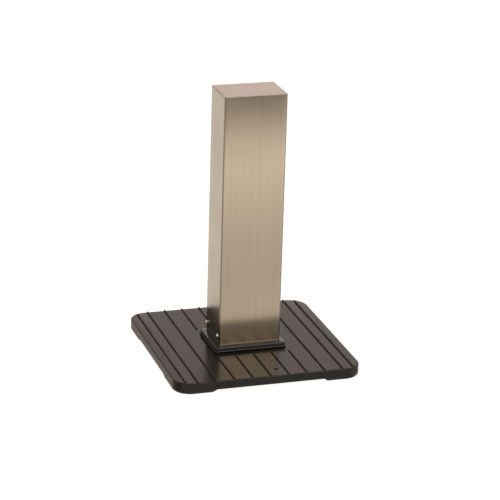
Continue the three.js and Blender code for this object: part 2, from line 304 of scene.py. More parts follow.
class Recipe:
    """A material in the making, with short forms of the nodes that the finishes share."""

    def __init__(self, name: str) -> None:
        """Starts an empty material, with the Object coordinates that its patterns read."""
        self.material = bpy.data.materials.new(name)
        self.material.use_nodes = True
        self.tree = self.material.node_tree
        self.tree.nodes.clear()
        self.place = self.add("TexCoord").outputs["Object"]

    def add(self, kind: str, inputs: dict | None = None, **settings) -> bpy.types.Node:
        """Adds a shader node, whose kind is given without its "ShaderNode"."""
        return add_node(self.tree, f"ShaderNode{kind}", inputs, **settings)

    def noise(self, size_mm: float, detail: float, place: Socket | None = None, **more: float) -> Socket:
        """Noise with features of a size in millimetres, on the Object coordinates or others."""
        node = self.add("TexNoise", {"Vector": place or self.place, "Scale": per_metre(size_mm),
            "Detail": detail, **more})
        return node.outputs["Fac"]

    def wear(self) -> Socket:
        """How worn the mesh is at a point, from 0 to 1."""
        return self.add("Attribute", attribute_name="wear").outputs["Fac"]

    def product(self, first: Socket, second: Socket) -> Socket:
        """Two values multiplied."""
        return self.add("Math", {0: first, 1: second}, operation="MULTIPLY").outputs[0]

    def blend(self, share: Socket, first: Tone, second: Tone) -> Socket:
        """Goes from the first colour to the second. Each is an sRGB code or a socket."""
        ends = [linear(tone) if isinstance(tone, str) else tone for tone in (first, second)]
        node = self.add("Mix", {"Factor": share, "A": ends[0], "B": ends[1]}, data_type="RGBA")
        return node.outputs["Result"]

    def remap(self, value: Socket, to: Span = (0.0, 1.0), source: Span = (0.0, 1.0)) -> Socket:
        """Carries a value from the source span to the other, and clamps it there."""
        node = self.add("MapRange", {"Value": value, "From Min": source[0], "From Max": source[1],
            "To Min": to[0], "To Max": to[1]})
        return node.outputs["Result"]

    def bump(self, height: Socket, strength: float, distance: float, below: Socket | None = None) -> Socket:
        """A bumped normal, over the one below it if there is one."""
        inputs = {"Height": height, "Strength": strength, "Distance": distance}
        if below:
            inputs["Normal"] = below
        return self.add("Bump", inputs).outputs["Normal"]

    def close(self, surface: Socket) -> bpy.types.Material:
        """Ends the recipe with a surface, and returns the material."""
        self.add("OutputMaterial", {"Surface": surface})
        return self.material

    def skin(self, colour: Socket, roughness: Socket | float, **more) -> bpy.types.Material:
        """Ends the recipe with a Principled surface. An underscore in a name stands for a space."""
        inputs = {name.replace("_", " "): value for name, value in more.items()}
        node = self.add("BsdfPrincipled", {"Base Color": colour, "Roughness": roughness, **inputs})
        return self.close(node.outputs["BSDF"])

    def glow(self, **inputs) -> bpy.types.Material:
        """Ends the recipe with light that it gives off."""
        return self.close(self.add("Emission", inputs).outputs["Emission"])


class Grain(Enum):
    """Which way a brushed grain runs on a piece, as the squeeze of its pattern along each axis."""

    UPRIGHT = (1.0, 1.0, 0.004)
    ACROSS = (0.006, 1.0, 1.0)
    NONE = (1.0, 1.0, 1.0)


@dataclass(frozen=True)
class PowderCoat:
    """Dark bronze powder coat on a sand casting.

    The coat lies in a soft orange-peel ripple over the grain of the casting, with a semi-gloss skin that
    mirrors what stands on it. It is thin and chafed along the edges. Its reflection is a little weaker
    than that of a clear resin, because the filler is matt.
    """

    tone: str = "#0e0b09"
    dusty: str = "#1d1713"
    worn: str = "#40382f"
    roughness: float = 0.19
    ior: float = 1.3
    peel_mm: float = 1.8
    grain_mm: float = 4.0
    cloud_mm: float = 70.0

    def material(self) -> bpy.types.Material:
        """Builds the material."""
        recipe = Recipe("powder_coated_iron")
        cloud = recipe.noise(self.cloud_mm, 6.0, Roughness=0.62)
        grain = recipe.noise(self.grain_mm, 3.0)
        peel = recipe.noise(self.peel_mm, 2.0)
        dust = recipe.remap(recipe.product(cloud, grain), source=(0.15, 0.4))
        colour = recipe.blend(dust, self.tone, self.dusty)
        worn = recipe.blend(recipe.product(recipe.wear(), grain), colour, self.worn)
        gloss = recipe.remap(dust, (self.roughness, self.roughness + 0.08))
        swell = recipe.bump(grain, 0.12, 0.0003, recipe.bump(peel, 0.12, 0.00012))
        return recipe.skin(worn, gloss, IOR=self.ior, Normal=swell)


@dataclass(frozen=True)
class Rubber:
    """Moulded black rubber: dull, faintly brown, with a fine pebbled skin and some grey dust."""

    name: str
    tone: str = "#130d0a"
    dust: str = "#241d18"
    roughness: float = 0.55
    ior: float = 1.4
    pebble_mm: float = 0.9

    def material(self) -> bpy.types.Material:
        """Builds the material."""
        recipe = Recipe(self.name)
        cloud = recipe.noise(25, 5.0)
        pebble = recipe.add("TexVoronoi", {"Vector": recipe.place, "Scale": per_metre(self.pebble_mm)})
        dust = recipe.remap(cloud, (0.0, 0.6), (0.45, 0.8))
        colour = recipe.blend(dust, self.tone, self.dust)
        rough = recipe.remap(cloud, (self.roughness - 0.08, self.roughness + 0.15))
        bump = recipe.bump(pebble.outputs["Distance"], 0.25, 0.0002)
        return recipe.skin(colour, rough, IOR=self.ior, Normal=bump)


@dataclass(frozen=True)
class MouldedNylon:
    """Glossy black nylon from a polished mould: near mirror-like, with faint sink marks and handling."""

    tone: str = "#0d0d0c"
    scuff: str = "#22221e"
    roughness: float = 0.14

    def material(self) -> bpy.types.Material:
        """Builds the material."""
        recipe = Recipe("moulded_black_nylon")
        sink = recipe.noise(18, 2.0)
        smear = recipe.noise(6, 6.0, Roughness=0.7)
        chafe = recipe.product(recipe.wear(), smear)
        colour = recipe.blend(chafe, self.tone, self.scuff)
        rough = recipe.remap(smear, (self.roughness, self.roughness + 0.14), (0.3, 0.8))
        return recipe.skin(colour, rough, IOR=1.53, Normal=recipe.bump(sink, 0.15, 0.0004))


@dataclass(frozen=True)
class BrushedSteel:
    """Stainless sheet brushed with a grit belt.

    The grain gives fine lines that spread reflections across them, on a warm grey metal, and the sheet is
    a shade darker where it is folded. Real grit lines are about 0.1 mm apart. They are drawn at 0.7 mm,
    so that some of them still show from afar.
    """

    name: str = "brushed_stainless"
    tone: str = "#afa08c"
    shade: str = "#a49480"
    fold: str = "#7e7260"
    roughness: float = 0.21
    line_mm: float = 0.7
    grain: Grain = Grain.UPRIGHT
    spread: float = 0.85

    def material(self) -> bpy.types.Material:
        """Builds the material."""
        recipe = Recipe(self.name)
        mapping = recipe.add("Mapping", {"Vector": recipe.place, "Scale": self.grain.value})
        drawn = mapping.outputs["Vector"]
        lines = recipe.noise(self.line_mm, 4.0, drawn, Roughness=0.7)
        bands = recipe.noise(11, 3.0, drawn)
        smear = recipe.noise(110, 5.0)
        folded = recipe.blend(recipe.wear(), recipe.blend(bands, self.tone, self.shade), self.fold)
        grit = recipe.remap(lines, (0.95, 1.04), (0.25, 0.75))
        colour = recipe.add("VectorMath", {0: folded, 1: grit}, operation="MULTIPLY")
        rough = recipe.remap(smear, (self.roughness - 0.02, self.roughness + 0.04), (0.35, 0.7))
        scratch = recipe.add("Math", {0: lines, 1: 0.04, 2: rough}, operation="MULTIPLY_ADD")
        return recipe.skin(colour.outputs["Vector"], scratch.outputs[0], Metallic=1.0,
            Anisotropic=self.spread, Normal=recipe.bump(lines, 0.06, 0.0001))


@dataclass(frozen=True)
class ZincPlate:
    """Bright zinc plating on steel: cool grey, cloudy, with a faint blue and straw tint."""

    tone: str = "#b9bcbf"
    tint: str = "#a8a79a"
    roughness: float = 0.34

    def material(self) -> bpy.types.Material:
        """Builds the material."""
        recipe = Recipe("zinc_plated_steel")
        cloud = recipe.noise(11, 6.0)
        colour = recipe.blend(cloud, self.tone, self.tint)
        rough = recipe.remap(cloud, (self.roughness - 0.1, self.roughness + 0.15))
        bump = recipe.bump(recipe.noise(0.8, 2.0), 0.15, 0.0001)
        return recipe.skin(colour, rough, Metallic=1.0, Normal=bump)


# ---------------------------------------------------------------- base plate


@dataclass
class BasePlate:
    """The casting: a grooved top, a skirt with four corner feet, a hollow underside with ribs and a boss."""

    corner_r: float = 42.0
    edge_r: float = 2.5
    lower_edge_r: float = 1.4
    skin: float = 6.0
    skirt_bottom: float = 6.0
    skirt_wall: float = 7.0
    foot_rim: float = 24.0
    foot_x: float = 90.0
    foot_y: float = 110.0
    ramp: float = 8.0
    groove: float = 3.0
    groove_gap: float = 0.3
    groove_r: float = 0.6
    hole_at: tuple[float, float] = (23.0, -190.5)
    hole_r: float = 5.0
    hole_bevel: float = 0.8
    bolt_hole_r: float = 4.5
    boss_half: tuple[float, float] = (70.0, 50.0)
    boss_bottom: float = 12.0
    counterbore_r: float = 9.5
    counterbore_top: float = 18.0
    rib_half: float = 3.0
    rib_bottom: float = 10.0
    fillet: float = 2.5
    rim_r: float = 1.0            # the round between the skirt's foot and its inner wall
    rib_r: float = 1.2
    rib_edge: float = 1.0
    rib_land: float = 1.6         # inset of the flat bottom
    boss_r: float = 8.0
    boss_edge: float = 2.0
    boss_land: float = 3.0
    skirt_from: float = 4.0       # the straight skirt starts this far under its upper round
    skirt_to: float = 3.0         # and ends this far over its lower round
    top_wear: tuple[float, ...] = (0.3, 0.8, 1.0, 0.8, 0.3)
    foot_wear: tuple[float, ...] = (0.2, 0.5, 0.8, 0.8, 0.5)
    hole_wear: tuple[float, ...] = (0.6, 0.8, 0.0)

    def __post_init__(self) -> None:
        """Reads the plate's extent from the frame."""
        low, high = cad_box("base_plate")
        self.half = high[0]
        self.top = high[2]
        self.sole = low[2]
        self.under = self.top - self.skin

    def bolt_places(self) -> list[tuple[float, float]]:
        """The middles of the four base bolts."""
        places = []
        for label, _, _ in CORNERS:
            low, high = cad_box(f"base_bolt_{label}")
            places.append(tuple((low + high)[:2] / 2))
        return places

    def feet(self, outline: Array) -> Array:
        """How much each outline point belongs to a foot.

        The product of two ramps, clip((|x| - x0) / ramp, 0, 1) and the same in y, eased by 3t^2 - 2t^3.

        Args:
            outline: Points, (N, 2).

        Returns:
            Values from 0, between the feet, to 1, on a foot.
        """
        inner = self.half - np.array([self.foot_x, self.foot_y]) - self.ramp
        t = np.clip((np.abs(outline) - inner) / self.ramp, 0, 1)
        share = t.min(axis=1)
        return share * share * (3 - 2 * share)

    def strip_loops(self) -> list[Array]:
        """The outline of the groove round each tread strip."""
        loops = []
        for node in TreadStrips.nodes():
            low, high = cad_box(node)
            reach = self.half - self.edge_r - self.groove_gap
            low[1], high[1] = max(low[1], -reach), min(high[1], reach)
            centre, size = (low + high) / 2, (high - low) / 2 + np.array([self.groove_gap, 0.0, 0.0])
            loop, _ = rounded_loop(size[0], size[1], self.groove_r, corner=3, side=2)
            loops.append(loop + centre[:2])
        return loops

    def shell(self) -> Shell:
        """The outer skin, from the grooved top over the skirt and feet to the ceiling of the underside."""
        shell = Shell("base_plate_casting")
        outline, normal = rounded_loop(self.half, self.half, self.corner_r, corner=20, side=96)
        foot = self.feet(outline)
        low = self.skirt_bottom - (self.skirt_bottom - self.sole) * foot
        wall = self.skirt_wall + (self.foot_rim - self.skirt_wall) * foot
        edge, lower, rim, fillet = self.edge_r, self.lower_edge_r, self.rim_r, self.fillet
        profile = bend(edge, self.top - edge, edge, edge, 6)[::-1]
        profile += [(0, self.top - edge - self.skirt_from), (0, low + lower + self.skirt_to)]
        profile += bend(lower, low + lower, lower, -lower, 4)
        profile += [(wall - rim, low)]
        profile += bend(wall - rim, low + rim, rim, -rim, 3, QUARTER)
        profile += bend(wall + fillet, self.under - fillet, fillet, fillet, 4)
        profile += [(wall + fillet + 1, self.under)]
        rows = raise_rows(outline, normal, profile)
        worn = np.zeros(len(profile))
        worn[1:6], worn[9:14] = self.top_wear, self.foot_wear
        shell.grid(rows, wear=worn[:, None])
        self._openings(shell, rows[0, :, :2], rows[-1, :, :2])
        return shell

    def _openings(self, shell: Shell, top_loop: Array, under_loop: Array) -> None:
        """Fills the top and the ceiling, and cuts the grooves, the bolt holes and the plate hole.

        Args:
            shell: The skin so far.
            top_loop: The edge of the flat top, (N, 2).
            under_loop: The edge of the flat ceiling, (N, 2).
        """
        grooves = self.strip_loops()
        bolts = [circle(self.bolt_hole_r, x, y) for x, y in self.bolt_places()]
        x, y = self.hole_at
        rim, hole = circle(self.hole_r + self.hole_bevel, x, y), circle(self.hole_r, x, y)
        shell.cap(top_loop, [*grooves, *bolts, rim], self.top)
        shell.cap(under_loop, [*bolts, hole], self.under)
        bore = [(rim, self.top), (hole, self.top - self.hole_bevel), (hole, self.under)]
        shell.grid(rings(bore), wear=np.array(self.hole_wear)[:, None])
        for loop in bolts:
            shell.grid(rings((loop, z) for z in (self.top, self.under)))
        for loop in grooves:
            shell.grid(rings((loop, z) for z in (self.top, self.top - self.groove)))
            shell.cap(loop, (), self.top - self.groove)

    def ribs(self) -> Shell:
        """Four ribs and the bolting boss under the plate, each a closed rounded block."""
        shell = Shell("base_plate_ribs")
        sunk, bottom, edge = self.under + 1, self.rib_bottom, self.rib_edge
        end = self.half - self.skirt_wall + 1
        profile = [(self.rib_land, bottom), *bend(edge, bottom + edge, edge, -edge, 4)[::-1], (0, sunk)]
        for sign in (-1, 1):
            for axis, half in enumerate(self.boss_half):
                size, shift = np.full(2, self.rib_half), np.zeros(2)
                size[axis] = (end - (half - 1)) / 2
                shift[axis] = sign * (half - 1 + end) / 2
                loop, normal = rounded_loop(*size, self.rib_r, corner=4, side=6)
                rows = raise_rows(loop + shift, normal, profile)
                shell.grid(rows)
                shell.fan_ends(rows)
        self._boss(shell, sunk)
        return shell

    def _boss(self, shell: Shell, sunk: float) -> None:
        """Adds the boss with its four counterbored bolt holes to the ribs, up to the height sunk."""
        bottom, edge = self.boss_bottom, self.boss_edge
        loop, normal = rounded_loop(*self.boss_half, self.boss_r, corner=8, side=6)
        profile = [(self.boss_land, bottom), *bend(edge, bottom + edge, edge, -edge, 5)[::-1], (0, sunk)]
        rows = raise_rows(loop, normal, profile)
        shell.grid(rows)
        wide, slim = ([circle(r, x, y) for x, y in self.bolt_places()]
            for r in (self.counterbore_r, self.bolt_hole_r))
        shell.cap(rows[0, :, :2], wide, bottom)
        shell.cap(rows[-1, :, :2], slim, sunk)
        for outer, inner in zip(wide, slim):
            step = self.counterbore_top
            shell.grid(rings([(outer, bottom), (outer, step), (inner, step), (inner, sunk)]))

    def make(self, coat: bpy.types.Material) -> None:
        """Makes the casting's two pieces in powder coat."""
        self.shell().build(coat, "painted_iron", ["base_plate"])
        self.ribs().build(coat, "painted_iron")


@dataclass
class TreadStrips:
    """Rubber strips pressed into the plate's grooves, crowned on top and rounded at both ends."""

    plan_r: float = 1.0
    shoulder: float = 0.8
    crown: float = 0.15
    flat: float = 0.1
    root: tuple[tuple[float, float], ...] = ((0.5, 0.0), (0.1, 0.4), (0.0, 1.0))

    @staticmethod
    def nodes() -> list[str]:
        """The names of the strips' CAD nodes."""
        return sorted(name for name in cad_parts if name.startswith("tread_strip"))

    def make(self, rubber: bpy.types.Material) -> None:
        """Makes every strip: a long rounded outline, raised with a quarter-round shoulder and a low crown."""
        for node in self.nodes():
            low, high = cad_box(node)
            centre, size = (low + high) / 2, (high - low) / 2
            loop, normal = rounded_loop(size[0], size[1], self.plan_r, corner=6, side=24)
            shoulder, top = self.shoulder, high[2] - self.crown
            profile = [(inset, low[2] + rise) for inset, rise in self.root]
            profile += bend(shoulder, top - shoulder, shoulder, shoulder, 5)
            profile += [(self.plan_r - self.flat, high[2])]
            rows = raise_rows(loop + centre[:2], normal, profile)
            shell = Shell(f"{node}_rubber")
            shell.grid(rows)
            shell.cap_ends(rows)
            shell.build(rubber, "tread_rubber", [node])


@dataclass
class FootPads:
    """L-shaped rubber soles: a flat rounded band carried round each corner of the base outline."""

    plate: BasePlate
    inset: float = 2.0
    edge: float = 0.5

    def _run(self, sx: int, sy: int) -> tuple[Array, Array]:
        """The outline from the front or back side round one corner to the left or right side.

        Args:
            sx: -1 for left, 1 for right.
            sy: -1 for front, 1 for back.

        Returns:
            Points and outward normals along the run, each (M, 2).
        """
        half, r = self.plate.half, self.plate.corner_r
        angle = np.linspace(QUARTER, 0, 17)
        arc_normal = np.stack([np.cos(angle), np.sin(angle)], -1)
        arc = (half - r) + r * arc_normal
        flat_x = np.linspace(half - self.plate.foot_x + 1, half - r, 8)[:-1]
        flat_y = np.linspace(half - r, half - self.plate.foot_y + 1, 9)[1:]
        points = np.vstack([np.column_stack([flat_x, np.full_like(flat_x, half)]), arc,
            np.column_stack([np.full_like(flat_y, half), flat_y])])
        normals = np.vstack([np.tile([0.0, 1.0], (len(flat_x), 1)), arc_normal,
            np.tile([1.0, 0.0], (len(flat_y), 1))])
        signs = np.array([sx, sy], float)
        return points * signs, normals * signs

    def make(self, rubber: bpy.types.Material) -> None:
        """Makes the four soles."""
        for label, sx, sy in CORNERS:
            low, high = cad_box(f"foot_pad_{label}")
            points, normals = self._run(sx, sy)
            near, far, e = self.inset, self.plate.foot_rim - self.inset, self.edge
            section = [(near, low[2] + e), (near + e, low[2]), (far - e, low[2]), (far, low[2] + e),
                (far, high[2]), (near, high[2])]
            rows = raise_rows(points, normals, section)
            shell = Shell(f"foot_pad_{label}_rubber")
            shell.grid(rows, around=False, along=True)
            shell.fan(rows[:, 0])
            shell.fan(rows[:, -1])
            shell.build(rubber, "sole_rubber", [f"foot_pad_{label}"])


# ---------------------------------------------------------------- post and collar


@dataclass
class Post:
    """A box column folded from sheet, with a seam down its back and a flat lid."""

    wall: float = 1.5
    corner_r: float = 3.0
    lid_edge: float = 1.2
    lid_fit: float = 1.8
    seam_half: float = 1.6
    seam_proud: float = 0.35
    seam_ripple_mm: float = 3.0
    seam_start: float = 14.0      # above the foot of the post
    seam_end: float = 2.0         # below its top
    seam_sunk: float = 0.05
    seam_root: float = 0.3
    end_inset: float = 0.2        # the deburred ends of the sheet
    end_step: float = 0.3
    least_r: float = 0.4
    corner_steps: int = 8
    side_steps: int = 12

    def __post_init__(self) -> None:
        """Reads the column's extent from the frame."""
        low, high = cad_box("post")
        self.hx, self.hy = high[0], high[1]
        self.low, self.top = low[2], high[2]

    def rows(self, levels: Sequence[tuple[float, float]]) -> Array:
        """Outlines drawn in by an inset, at a height, for each pair (inset, z)."""
        steps = self.corner_steps, self.side_steps
        return rings((rounded_loop(self.hx - inset, self.hy - inset, max(self.corner_r - inset, self.least_r),
            *steps)[0], z) for inset, z in levels)

    def folds(self) -> Array:
        """1 for each outline point in a rounded corner, and 0 along the sides."""
        one = np.zeros(self.corner_steps + self.side_steps)
        one[1:self.corner_steps] = 1.0
        return np.tile(one, 4)

    def column(self) -> Shell:
        """The folded sheet: an outer wall up, a narrow rim, and an inner wall down."""
        shell = Shell("post_sheet")
        middle = np.linspace(self.low + self.end_step, self.top - self.end_step, 14)
        levels = [(self.end_inset, self.low), *[(0.0, z) for z in middle], (self.end_inset, self.top),
            (self.wall, self.top), (self.wall, self.low)]
        shell.grid(self.rows(levels), along=True, wear=self.folds()[None, :])
        return shell

    def lid(self) -> Shell:
        """The lid: a flat top with a rounded edge, and a rim that stands inside the column."""
        shell = Shell("post_lid_sheet")
        low, high = cad_box("post_lid")
        seat, edge = self.top + 0.3, self.lid_edge
        top = high[2]
        levels = [(edge + 1.0, top), *bend(edge, top - edge, edge, edge, 5)[::-1], (0.1, seat),
            (self.lid_fit, seat), (self.lid_fit, low[2]), (self.lid_fit + self.wall, low[2]),
            (self.lid_fit + self.wall, seat)]
        rows = self.rows(levels)
        worn = np.zeros(len(levels))
        worn[2:6] = 0.6
        shell.grid(rows, wear=worn[:, None])
        shell.cap_ends(rows)
        return shell

    def seam(self) -> Shell:
        """The weld down the back: a low half-ellipse carried up the post.

        Its height is proud (0.8 + 0.2 cos(2 pi z / ripple)) sin(a), across an arc of half a turn.
        """
        shell = Shell("post_back_seam")
        z = np.arange(self.low + self.seam_start, self.top - self.seam_end, self.seam_ripple_mm / 4)
        angle = np.linspace(0, math.pi, 9)
        proud = self.seam_proud * (0.8 + 0.2 * np.cos(2 * math.pi * z / self.seam_ripple_mm))
        x = np.broadcast_to(self.seam_half * np.cos(angle), (len(z), 9))
        y = self.hy - self.seam_sunk + proud[:, None] * np.sin(angle)
        rows = np.stack([x, y, np.broadcast_to(z[:, None], x.shape)], -1)
        back = rows[:, [-1, 0]].copy()
        back[:, :, 1] = self.hy - self.seam_root
        section = np.concatenate([rows, back], axis=1)
        shell.grid(section)
        shell.fan_ends(section)
        return shell

    def make(self, steel: bpy.types.Material, flat: bpy.types.Material) -> None:
        """Makes the column and its seam in upright brushed steel, and the lid in steel brushed across."""
        self.column().build(steel, "brushed_stainless", ["post"])
        self.seam().build(steel, "brushed_stainless")
        self.lid().build(flat, "brushed_stainless", ["post_lid"])


@dataclass
class Collar:
    """The moulded ring round the post: a bead on the plate, a cove, and a flat ledge with a round lip."""

    post: Post
    gap: float = 0.3
    corner_r: float = 4.0
    bead: float = 13.6
    bead_height: float = 4.2
    cove: float = 9.2
    ledge: float = 12.0
    ledge_bottom: float = 6.2
    height: float = 12.5
    fall: float = 1.1
    lip_r: float = 2.0
    gap_bevel: float = 1.0
    heel_r: float = 1.0
    wear: float = 0.6

    def section(self) -> Array:
        """The ring's section, as pairs (distance out from the post, height above its foot).

        The bead is a half round, the cove a half ellipse, and the ledge has a small round below, a
        quarter round of radius lip_r above, and a top that falls outward by the fall.
        """
        half = np.linspace(-QUARTER, QUARTER, 9)
        quarter = np.linspace(0, QUARTER, 7)
        r = self.bead_height / 2
        bead = np.column_stack([self.bead - r + r * np.cos(half), r + r * np.sin(half)])
        deep, tall = self.ledge - self.heel_r - self.cove, (self.ledge_bottom - self.bead_height) / 2
        cove = np.column_stack([self.cove + deep - deep * np.cos(half),
            self.bead_height + tall + tall * np.sin(half)])
        heel = np.column_stack([self.ledge - self.heel_r * (1 - np.sin(quarter)),
            self.ledge_bottom + self.heel_r * (1 - np.cos(quarter))])
        lip = np.column_stack([self.ledge - self.lip_r * (1 - np.cos(quarter)),
            self.height - self.fall - self.lip_r * (1 - np.sin(quarter))])
        bevel = self.gap_bevel
        inner = np.array([[self.gap + bevel, self.height], [self.gap, self.height - bevel], [self.gap, 0.0]])
        return np.concatenate([bead, cove[1:-1], heel, lip, inner])

    def make(self, nylon: bpy.types.Material) -> None:
        """Carries the section round the post; the corner radius grows a little with the distance out."""
        low, _ = cad_box("collar")
        section = self.section()
        levels = []
        for out, height in section:
            share = (out - self.gap) / (self.bead - self.gap)
            r = self.post.corner_r + self.gap + (self.corner_r - self.post.corner_r - self.gap) * share
            loop, _ = rounded_loop(self.post.hx + out, self.post.hy + out, r, corner=7, side=12)
            levels.append((loop, low[2] + height))
        worn = np.clip((section[:, 1] - self.height + self.fall + self.lip_r) / self.lip_r, 0, 1)
        shell = Shell("collar_moulding")
        shell.grid(rings(levels), along=True, wear=worn[:, None] * self.wear)
        shell.build(nylon, "black_nylon", ["collar"])


# ---------------------------------------------------------------- fasteners


@dataclass
class Fasteners:
    """Base bolts with their washers and nuts, and the screws and weld nuts that hold the post."""

    bolt_flats: float = 13.0
    bolt_head: float = 5.3
    bolt_r: float = 4.0
    bolt_pitch: float = 1.25
    nut_flats: float = 8.0
    thread_depth: float = 0.55   # share of the pitch
    point_depth: float = 0.6     # share of the pitch, at the tip
    turned: float = 0.475        # radius of a turned-off face, as a share of the flats
    turned_slope: float = 1.73   # a chamfer of 30 degrees
    screw_r: float = 2.5
    screw_pitch: float = 0.8
    head_r: float = 4.7
    head_height: float = 4.6
    head_rim: float = 2.0
    recess_depth: float = 1.7
    recess_half: float = 0.55
    recess_reach: float = 2.5
    recess_fade: float = 0.25    # from a recess's wall to its full depth
    recess_end: float = 1.05     # share of the reach at which the recess has run out
    recess_slope: float = 2.2    # how fast it runs out there
    turned_depths: tuple[float, ...] = (0.0, 0.25, 0.5, 0.8, 1.2)
    bore_bevel: float = 0.5
    nut_play: float = 0.1
    washer_play: float = 0.3
    washer_bevel: float = 0.25
    shank_sunk: float = 0.5       # how far a bolt's thread starts inside its head
    rod_sunk: float = 0.3         # and a screw's
    seat_bevel: float = 0.3
    seat_height: float = 1.2
    thread_rows: int = 6          # in each turn

    @staticmethod
    def hexagon(flats: float, steps: int = 72) -> tuple[Array, Array]:
        """A hexagon in polar form: r(a) = (flats / 2) / cos((a mod 60 deg) - 30 deg)."""
        angle = np.linspace(0, 2 * math.pi, steps, endpoint=False)
        radius = flats / 2 / np.cos(np.mod(angle, math.pi / 3) - math.pi / 6)
        return angle, radius

    @staticmethod
    def polar_rows(angle: Array, radii: Sequence, heights: Sequence) -> Array:
        """Rings of points (r cos a, r sin a, z), one for each radius and height."""
        turns = np.column_stack([np.cos(angle), np.sin(angle)])
        return rings((np.broadcast_to(r, len(angle))[:, None] * turns, z) for r, z in zip(radii, heights))

    def hex_block(self, shell: Shell, flats: float, z0: float, z1: float, bore: float = 0.0) -> None:
        """Adds a hexagonal block whose corners are turned off at both ends at 30 degrees.

        Args:
            shell: The piece to add to.
            flats: Width across the flats.
            z0: Height of its lower face.
            z1: Height of its upper face.
            bore: Radius of the hole through it, or 0 for none.
        """
        angle, hexagon = self.hexagon(flats)
        depth = np.array(self.turned_depths)
        ring = [np.minimum(hexagon, flats * self.turned + self.turned_slope * d) for d in depth]
        radii, heights = ring + ring[::-1], [*(z0 + depth), *(z1 - depth[::-1])]
        if bore:
            bevel = self.bore_bevel
            radii = [bore, bore + bevel, *radii, bore + bevel, bore]
            heights = [z0 + bevel, z0, *heights, z1, z1 - bevel]
        rows = self.polar_rows(angle, radii, heights)
        shell.grid(rows, along=bool(bore))
        if not bore:
            shell.fan_ends(rows)

    def thread(self, shell: Shell, r: float, pitch: float, z0: float, z1: float) -> None:
        """Adds a threaded rod, closed at both ends.

        Its surface is r(a, z) = r - depth |2 frac(z / pitch - a / turn) - 1|, less a taper at its point.

        Args:
            shell: The piece to add to.
            r: Radius over the threads.
            pitch: Distance between threads.
            z0: Height of its lower end.
            z1: Height of its point.
        """
        angle = np.linspace(0, 2 * math.pi, 24, endpoint=False)
        z = np.arange(z0, z1, pitch / self.thread_rows)
        phase = np.mod(z[:, None] / pitch - angle / (2 * math.pi), 1.0)
        taper = np.clip((z1 - z) / pitch, 0.0, 1.0)[:, None]
        depth = self.thread_depth * pitch * np.abs(2 * phase - 1)
        radius = r - depth * taper - self.point_depth * pitch * (1 - taper)
        rows = self.polar_rows(angle, radius, z)
        shell.grid(rows)
        shell.fan_ends(rows)

    def bolts(self, zinc: bpy.types.Material) -> None:
        """Makes the four sets of bolt, washer and nut."""
        angle = np.linspace(0, 2 * math.pi, 48, endpoint=False)
        for label, _, _ in CORNERS:
            shells = {kind: Shell(f"base_{kind}_{label}_zinc") for kind in ("bolt", "nut", "washer")}
            low, high = cad_box(f"base_bolt_{label}")
            centre = [*(low + high)[:2] / 2, 0.0]
            neck = low[2] + self.bolt_head
            self.hex_block(shells["bolt"], self.bolt_flats, low[2], neck)
            self.thread(shells["bolt"], self.bolt_r, self.bolt_pitch, neck - self.shank_sunk, high[2])
            low, high = cad_box(f"base_nut_{label}")
            self.hex_block(shells["nut"], self.bolt_flats, low[2], high[2], self.bolt_r + self.nut_play)
            low, high = cad_box(f"base_washer_{label}")
            inner, outer, e = self.bolt_r + self.washer_play, high[0] - centre[0], self.washer_bevel
            radii = [inner, outer - e, outer, outer, outer - e, inner]
            heights = [low[2], low[2], low[2] + e, high[2] - e, high[2], high[2]]
            shells["washer"].grid(self.polar_rows(angle, radii, heights), along=True)
            for kind, shell in shells.items():
                shell.place(np.eye(3), centre).build(zinc, "zinc_steel", [f"base_{kind}_{label}"])

    def pan_head(self, shell: Shell) -> None:
        """Adds a cross-recessed pan head, seat at z = 0.

        Its top is z = h0 + h1 sqrt(1 - (r / R)^2), less the recess: full depth inside a plus sign,
        fading to none over a short way at its sides and towards its reach.
        """
        angle = np.linspace(0, 2 * math.pi, 64, endpoint=False)
        radius = self.head_r * np.sqrt(np.linspace(0.0006, 1, 26))[:, None]
        x, y = radius * np.cos(angle), radius * np.sin(angle)
        rim, rise = self.head_rim, self.head_height - self.head_rim
        dome = rim + rise * np.sqrt(np.clip(1 - (radius / self.head_r) ** 2, 0, 1)) + 0 * angle
        arm = np.minimum(np.abs(x), np.abs(y)) - self.recess_half
        reach = np.maximum(np.abs(x), np.abs(y)) / self.recess_reach
        side = np.clip(-arm / self.recess_fade, 0, 1)
        recess = self.recess_depth * side * np.clip((self.recess_end - reach) * self.recess_slope, 0, 1)
        top = np.stack([x, y, dome - recess], -1)[::-1]
        seat = self.polar_rows(angle, [self.head_r - self.seat_bevel, self.head_r, self.head_r],
            [0.0, self.seat_bevel, self.seat_height])
        rows = np.concatenate([seat, top])
        shell.grid(rows)
        shell.fan_ends(rows)

    def screws(self, bright: bpy.types.Material, zinc: bpy.types.Material) -> None:
        """Makes the two screws in the left side, lying along X, and the weld nuts behind them."""
        turn = np.array([[0, 0, -1], [0, 1, 0], [1, 0, 0]], float)
        for label in ("front_left", "back_left"):
            low, high = cad_box(f"side_screw_{label}")
            middle = (low + high) / 2
            seat = low[0] + self.head_height
            rod = Shell("rod")
            length = high[0] - low[0] - self.head_height
            self.thread(rod, self.screw_r, self.screw_pitch, -self.rod_sunk, length)
            rod.place(np.diag([1.0, -1.0, -1.0]), (0, 0, 0))
            screw = Shell(f"side_screw_{label}_steel")
            self.pan_head(screw)
            screw.join(rod)
            screw.place(turn, (seat, middle[1], middle[2]))
            screw.build(bright, "stainless_screw", [f"side_screw_{label}"])
            low, high = cad_box(f"weld_nut_{label}")
            thick = high[0] - low[0]
            nut = Shell(f"weld_nut_{label}_zinc")
            self.hex_block(nut, self.nut_flats, -thick / 2, thick / 2, self.screw_r + self.nut_play)
            nut.place(turn, (low + high) / 2)
            nut.build(zinc, "zinc_steel", [f"weld_nut_{label}"])


# ---------------------------------------------------------------- studio


